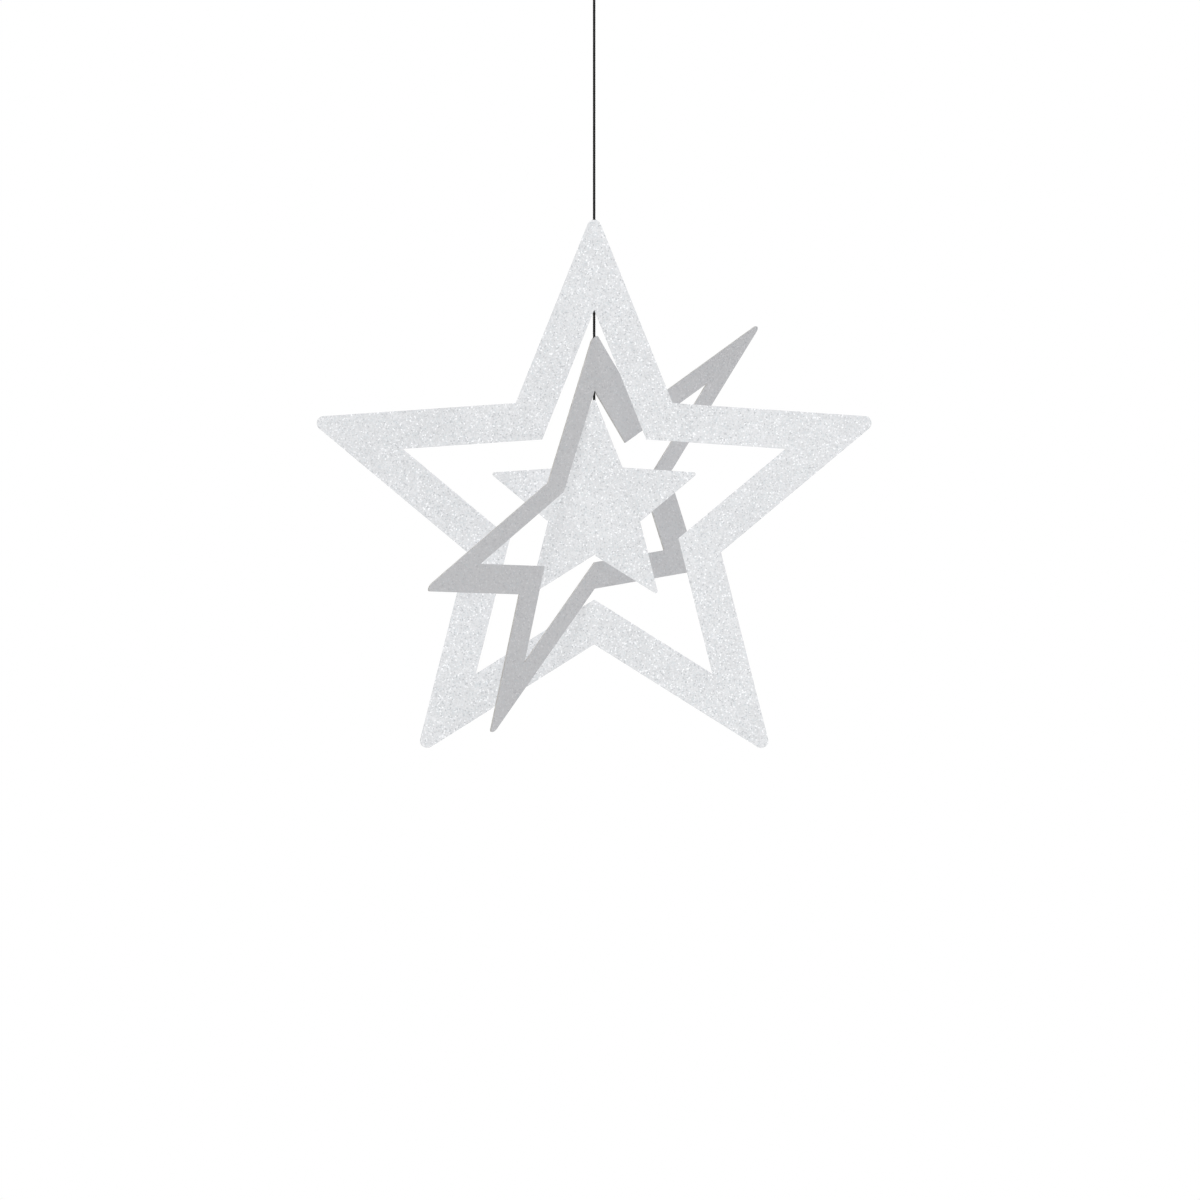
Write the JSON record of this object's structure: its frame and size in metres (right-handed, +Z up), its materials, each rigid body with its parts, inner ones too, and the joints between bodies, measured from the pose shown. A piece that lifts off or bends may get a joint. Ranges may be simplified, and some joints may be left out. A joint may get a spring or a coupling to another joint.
{
  "type": "hanging nested paper star",
  "caption": "Nested five-pointed stars of glitter card, one inside another, hanging in line on a single thin cord that ends in a tied loop.",
  "frame": {"origin": "top of the hanging loop's inside, where it rests on a hook", "axes": "+Z up along the cord, +X across the outer star's face, -Y the way its front paper faces"},
  "size_m": [0.2798, 0.1258, 0.4117],
  "materials": {
    "silver_glitter_paper": "silver-white glitter over white paper",
    "grey_glitter_paper": "silver-grey glitter over pale paper",
    "board": "die-cut grey-white board edge",
    "cord": "matt black braided polyester cord"
  },
  "bodies": {
    "hanging_loop": {"hanging_loop": "cord"},
    "loop_knot": {"loop_knot": "cord"},
    "hanging_cord": {"hanging_cord": "cord"},
    "outer_star": {"outer_core": "board", "outer_front_paper": "silver_glitter_paper", "outer_back_paper": "silver_glitter_paper", "upper_link_cord": "cord"},
    "middle_star": {"middle_core": "board", "middle_front_paper": "grey_glitter_paper", "middle_back_paper": "grey_glitter_paper", "lower_link_cord": "cord"},
    "inner_star": {"inner_core": "board", "inner_front_paper": "silver_glitter_paper", "inner_back_paper": "silver_glitter_paper", "inner_cord_end": "cord"}
  },
  "joints": [
    {"name": "sideways_swing", "type": "hinge", "parent": "hanging_loop", "child": "loop_knot", "pos_m": [0, 0, -0.026], "axis": [0, 1, 0], "range_deg": [-40, 40]},
    {"name": "forward_swing", "type": "hinge", "parent": "loop_knot", "child": "hanging_cord", "pos_m": [0, 0, -0.026], "axis": [1, 0, 0], "range_deg": [-40, 40]},
    {"name": "outer_star_spin", "type": "hinge", "parent": "hanging_cord", "child": "outer_star", "pos_m": [0, 0, -0.142], "axis": [0, 0, 1], "continuous": true},
    {"name": "middle_star_spin", "type": "hinge", "parent": "outer_star", "child": "middle_star", "pos_m": [0, 0, -0.19738], "axis": [0, 0, 1], "range_deg": [-28, 134]},
    {"name": "inner_star_spin", "type": "hinge", "parent": "middle_star", "child": "inner_star", "pos_m": [0, 0, -0.23366], "axis": [0, 0, 1], "range_deg": [-128, 22]}
  ]
}
